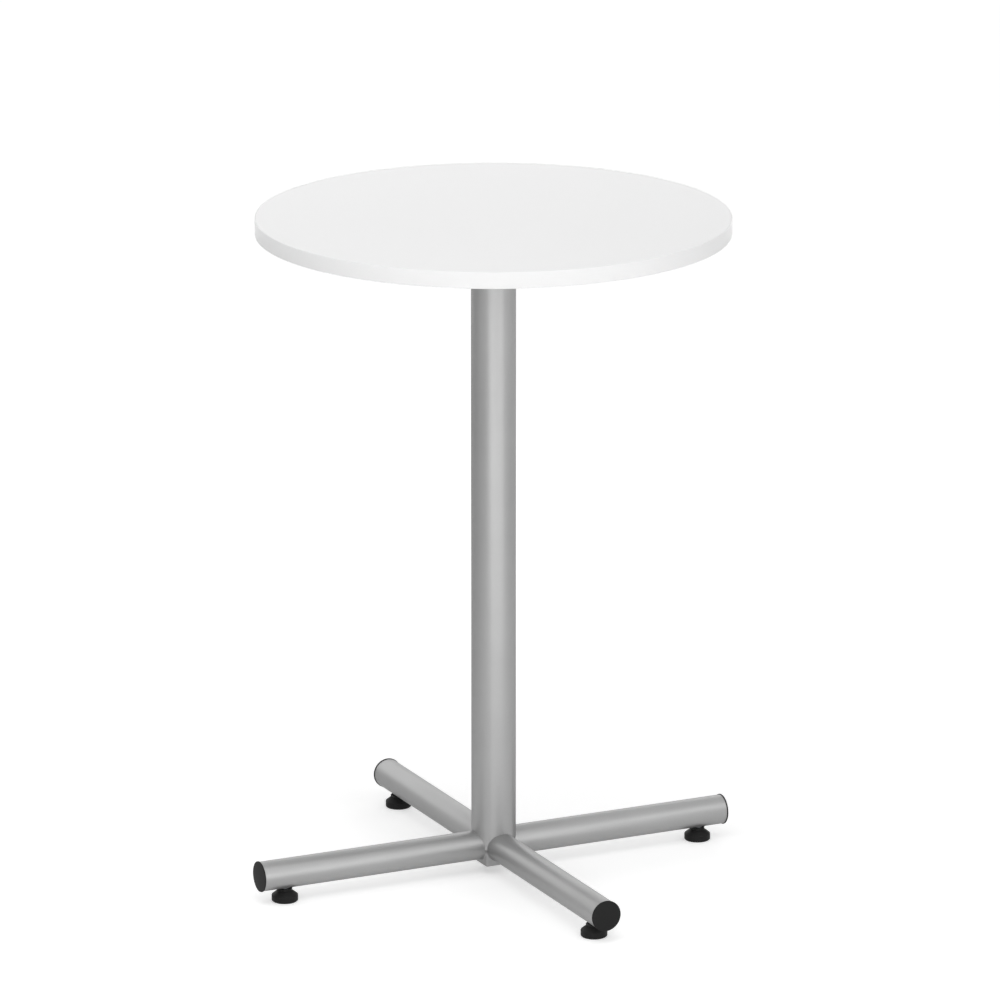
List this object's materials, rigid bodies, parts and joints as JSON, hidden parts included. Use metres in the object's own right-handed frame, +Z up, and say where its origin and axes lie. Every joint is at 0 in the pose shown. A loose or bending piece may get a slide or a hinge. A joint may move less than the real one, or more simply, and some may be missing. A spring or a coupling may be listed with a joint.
{
  "type": "standing meeting table",
  "caption": "Standing-height meeting table: round white top on one silver column, carried by a cross of tubular legs with black end caps and screw-adjustable levelling feet.",
  "frame": {"origin": "on the floor, under the middle of the column", "axes": "+Z up along the column, +X along the right leg, +Y along the back leg"},
  "size_m": [0.878, 0.878, 1.15],
  "materials": {
    "top_white": "white melamine-faced chipboard, fine pearl texture",
    "band_white": "white plastic edge band, satin",
    "silver_coat": "silver powder coat, satin, fine metallic grain",
    "zinc_steel": "bright zinc-plated steel",
    "black_plastic": "black moulded plastic, fine texture"
  },
  "bodies": {
    "table": {"tabletop_board": "top_white", "tabletop_edge_band": "band_white", "top_mounting_plate": "silver_coat", "plate_screw_1": "zinc_steel", "plate_screw_2": "zinc_steel", "plate_screw_3": "zinc_steel", "plate_screw_4": "zinc_steel", "plate_screw_5": "zinc_steel", "plate_screw_6": "zinc_steel", "plate_screw_7": "zinc_steel", "plate_screw_8": "zinc_steel", "column_tube": "silver_coat", "column_anchor_disc": "zinc_steel", "hub_post": "silver_coat", "hub_head_plate": "zinc_steel", "clamp_washer": "zinc_steel", "clamp_bolt": "zinc_steel", "leg_tube_right": "silver_coat", "leg_tube_back": "silver_coat", "leg_tube_left": "silver_coat", "leg_tube_front": "silver_coat", "end_cap_right": "black_plastic", "end_cap_back": "black_plastic", "end_cap_left": "black_plastic", "end_cap_front": "black_plastic", "foot_insert_right": "zinc_steel", "foot_insert_back": "zinc_steel", "foot_insert_left": "zinc_steel", "foot_insert_front": "zinc_steel"},
    "pad_right": {"foot_pad_right": "black_plastic"},
    "pad_back": {"foot_pad_back": "black_plastic"},
    "pad_left": {"foot_pad_left": "black_plastic"},
    "pad_front": {"foot_pad_front": "black_plastic"},
    "spindle_right": {"foot_spindle_right": "zinc_steel", "foot_collar_right": "black_plastic"},
    "spindle_back": {"foot_spindle_back": "zinc_steel", "foot_collar_back": "black_plastic"},
    "spindle_left": {"foot_spindle_left": "zinc_steel", "foot_collar_left": "black_plastic"},
    "spindle_front": {"foot_spindle_front": "zinc_steel", "foot_collar_front": "black_plastic"}
  },
  "joints": [
    {"name": "pad_slide_right", "type": "slide", "parent": "table", "child": "pad_right", "axis": [0, 0, -1], "range_m": [0, 0.012]},
    {"name": "pad_slide_back", "type": "slide", "parent": "table", "child": "pad_back", "axis": [0, 0, -1], "range_m": [0, 0.012]},
    {"name": "pad_slide_left", "type": "slide", "parent": "table", "child": "pad_left", "axis": [0, 0, -1], "range_m": [0, 0.012]},
    {"name": "pad_slide_front", "type": "slide", "parent": "table", "child": "pad_front", "axis": [0, 0, -1], "range_m": [0, 0.012]},
    {"name": "spindle_turn_right", "type": "hinge", "parent": "pad_right", "child": "spindle_right", "pos_m": [0.391, 0, 0.02], "axis": [0, 0, -1], "range_deg": [0, 2880]},
    {"name": "spindle_turn_back", "type": "hinge", "parent": "pad_back", "child": "spindle_back", "pos_m": [0, 0.391, 0.02], "axis": [0, 0, -1], "range_deg": [0, 2880]},
    {"name": "spindle_turn_left", "type": "hinge", "parent": "pad_left", "child": "spindle_left", "pos_m": [-0.391, 0, 0.02], "axis": [0, 0, -1], "range_deg": [0, 2880]},
    {"name": "spindle_turn_front", "type": "hinge", "parent": "pad_front", "child": "spindle_front", "pos_m": [0, -0.391, 0.02], "axis": [0, 0, -1], "range_deg": [0, 2880]}
  ],
  "couplings": [
    {"joint": "spindle_turn_right", "follows": "pad_slide_right", "rad_per_m": 4188.8},
    {"joint": "spindle_turn_back", "follows": "pad_slide_back", "rad_per_m": 4188.8},
    {"joint": "spindle_turn_left", "follows": "pad_slide_left", "rad_per_m": 4188.8},
    {"joint": "spindle_turn_front", "follows": "pad_slide_front", "rad_per_m": 4188.8}
  ]
}
